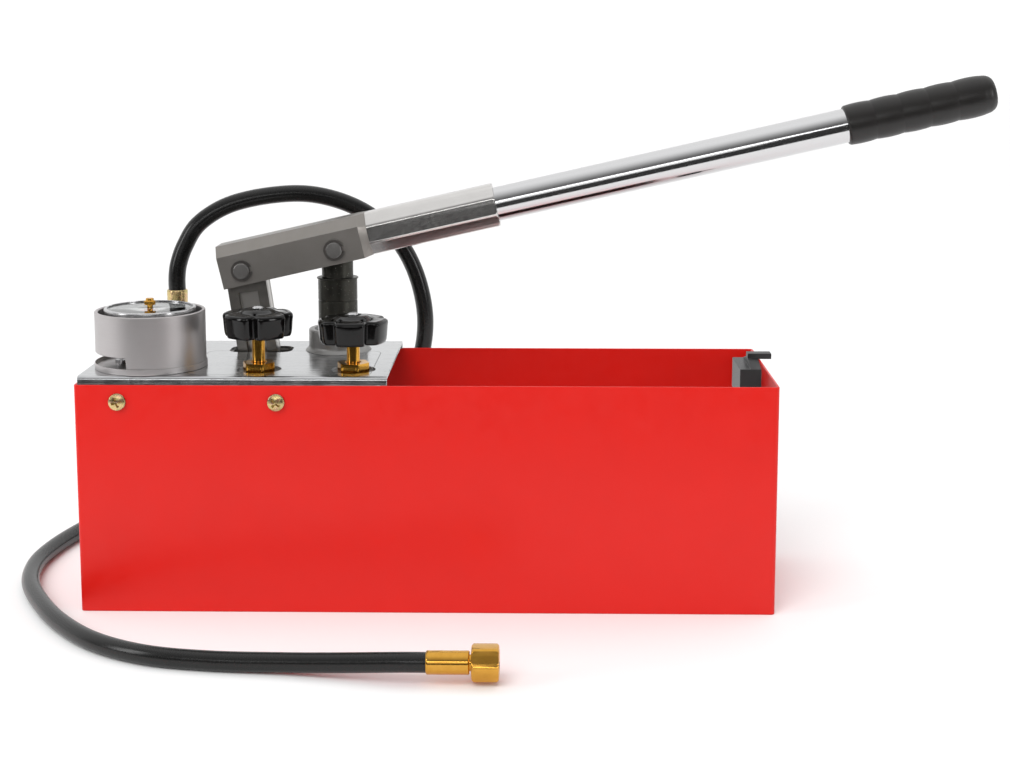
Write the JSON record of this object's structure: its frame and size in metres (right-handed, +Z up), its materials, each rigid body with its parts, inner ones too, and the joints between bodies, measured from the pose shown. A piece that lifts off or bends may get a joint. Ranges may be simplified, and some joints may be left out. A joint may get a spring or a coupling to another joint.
{
  "type": "hydraulic hand pump",
  "caption": "Hand-operated pressure-testing pump: open water tank, lever piston pump under a cover plate, star-knob valves, guarded gauge and a hose with a swivel nut.",
  "frame": {"origin": "centre of the tank's underside, on the surface that the pump stands on", "axes": "+X to the right along the tank towards the lever's grip, +Y to the back, +Z up"},
  "size_m": [0.7395, 0.3822, 0.3824],
  "materials": {
    "red_powder_coat": "satin powder coat",
    "zinc_sheet": "bright zinc plate with soft blurred reflections",
    "yellow_zinc": "yellow passivated zinc",
    "black_moulding": "moulded black plastic",
    "steel": "turned bright steel",
    "cast_aluminium": "as cast, machined faces",
    "grey_steel": "grey machined steel",
    "seal_rubber": "black nitrile rubber",
    "brass": "machined brass",
    "satin_steel": "satin turned steel tube",
    "gauge_case_black": "black painted steel",
    "dial_white": "white dial",
    "pointer_black": "black pointer",
    "pointer_red": "red pointer",
    "clear_lens": "clear window",
    "knob_gloss": "black glossy thermoset",
    "burnished_steel": "dark oiled steel",
    "lever_grey_paint": "grey paint",
    "socket_grey_paint": "light grey paint",
    "chrome": "chrome-plated tube",
    "grip_rubber": "moulded black rubber",
    "black_steel": "blackened spring steel",
    "hose_rubber": "smooth black hose cover"
  },
  "bodies": {
    "root": {"tank": "red_powder_coat", "cover_plate": "zinc_sheet", "plate_screws": "yellow_zinc", "plate_nuts": "yellow_zinc", "lever_rest_clip": "black_moulding", "clip_screws": "steel", "pump_body": "cast_aluminium", "gallery_plugs": "brass", "cylinder_barrel": "steel", "cylinder_collar": "grey_steel", "gland_seal": "seal_rubber", "gland_wiper": "seal_rubber", "foot_valve_body": "cast_aluminium", "suction_seat": "brass", "ball_stop_pin": "steel", "suction_strainer": "steel", "delivery_spring": "steel", "riser_pipe": "brass", "link_bracket": "grey_steel", "link_pivot_pin": "steel", "gauge_guard": "satin_steel", "guard_ring": "satin_steel", "guard_screws": "steel", "gauge_stem": "brass", "gauge_case": "gauge_case_black", "bourdon_tube": "brass", "gauge_movement": "brass", "gauge_dial": "dial_white", "gauge_bezel": "satin_steel", "gauge_lens": "clear_lens", "valve_bonnets": "brass", "bonnet_seals": "seal_rubber", "hose_adapter": "yellow_zinc", "hose": "hose_rubber", "hose_end_fitting": "brass"},
    "plunger": {"plunger": "burnished_steel", "piston_rings": "seal_rubber"},
    "lever": {"lever_channel": "lever_grey_paint", "lever_socket": "socket_grey_paint", "lever_tube": "chrome", "lever_grip": "grip_rubber", "lever_pins": "steel", "pin_circlips": "black_steel"},
    "link": {"link": "grey_steel", "link_bush": "brass", "link_spacers": "steel"},
    "release_disc": {"release_disc": "brass"},
    "release_valve": {"release_spindle": "brass", "release_knob": "knob_gloss", "release_knob_screw": "steel"},
    "shutoff_disc": {"shutoff_disc": "brass"},
    "shutoff_valve": {"shutoff_spindle": "brass", "shutoff_knob": "knob_gloss", "shutoff_knob_screw": "steel"},
    "pointer": {"gauge_pointer": "pointer_black"},
    "peak_pointer": {"peak_pointer": "pointer_red", "reset_knob": "brass"},
    "suction_ball": {"suction_ball": "steel"},
    "delivery_ball": {"delivery_ball": "steel"},
    "swivel_nut": {"swivel_nut": "brass"}
  },
  "joints": [
    {"name": "plunger_slide", "type": "slide", "parent": "root", "child": "plunger", "axis": [0, 0, 1], "range_m": [-0.025, 0.0353]},
    {"name": "lever_swing", "type": "hinge", "parent": "plunger", "child": "lever", "pos_m": [-0.074, 0.035, 0.252], "axis": [0, -1, 0], "range_deg": [-20.5, 29]},
    {"name": "link_swing", "type": "hinge", "parent": "lever", "child": "link", "pos_m": [-0.14421, 0.035, 0.23605], "axis": [0, -1, 0], "range_deg": [-36, 25.4]},
    {"name": "release_lift", "type": "slide", "parent": "root", "child": "release_disc", "axis": [0, 0, 1], "range_m": [-0.00451, 0.00101]},
    {"name": "release_turn", "type": "hinge", "parent": "release_disc", "child": "release_valve", "pos_m": [-0.1225, -0.045, 0.2], "axis": [0, 0, 1], "range_deg": [-810, 180]},
    {"name": "shutoff_lift", "type": "slide", "parent": "root", "child": "shutoff_disc", "axis": [0, 0, 1], "range_m": [0, 0.00551]},
    {"name": "shutoff_turn", "type": "hinge", "parent": "shutoff_disc", "child": "shutoff_valve", "pos_m": [-0.054, -0.045, 0.2], "axis": [0, 0, 1], "range_deg": [0, 990]},
    {"name": "pointer_turn", "type": "hinge", "parent": "root", "child": "pointer", "pos_m": [-0.2035, -0.0322, 0.209], "axis": [0, 0, -1], "range_deg": [0, 270], "stiffness_Nm_per_rad": 0.0005},
    {"name": "peak_pointer_turn", "type": "hinge", "parent": "root", "child": "peak_pointer", "pos_m": [-0.2035, -0.0322, 0.212], "axis": [0, 0, -1], "range_deg": [-25, 245]},
    {"name": "suction_ball_lift", "type": "slide", "parent": "root", "child": "suction_ball", "axis": [0, 0, 1], "range_m": [0, 0.0025]},
    {"name": "delivery_ball_lift", "type": "slide", "parent": "root", "child": "delivery_ball", "axis": [0, 0, 1], "range_m": [0, 0.0015], "stiffness_N_per_m": 150, "springref_m": -0.001, "deforming": ["delivery_spring"]},
    {"name": "swivel_nut_turn", "type": "hinge", "parent": "root", "child": "swivel_nut", "pos_m": [0.046, -0.208, 0.0142], "axis": [1, 0, 0], "continuous": true}
  ],
  "couplings": [
    {"joint": "plunger_slide", "follows": "lever_swing", "m_per_rad": 0.0693},
    {"joint": "link_swing", "follows": "lever_swing", "ratio": -1.226},
    {"joint": "release_lift", "follows": "release_turn", "m_per_rad": 0.00031831},
    {"joint": "shutoff_lift", "follows": "shutoff_turn", "m_per_rad": 0.00031831}
  ]
}
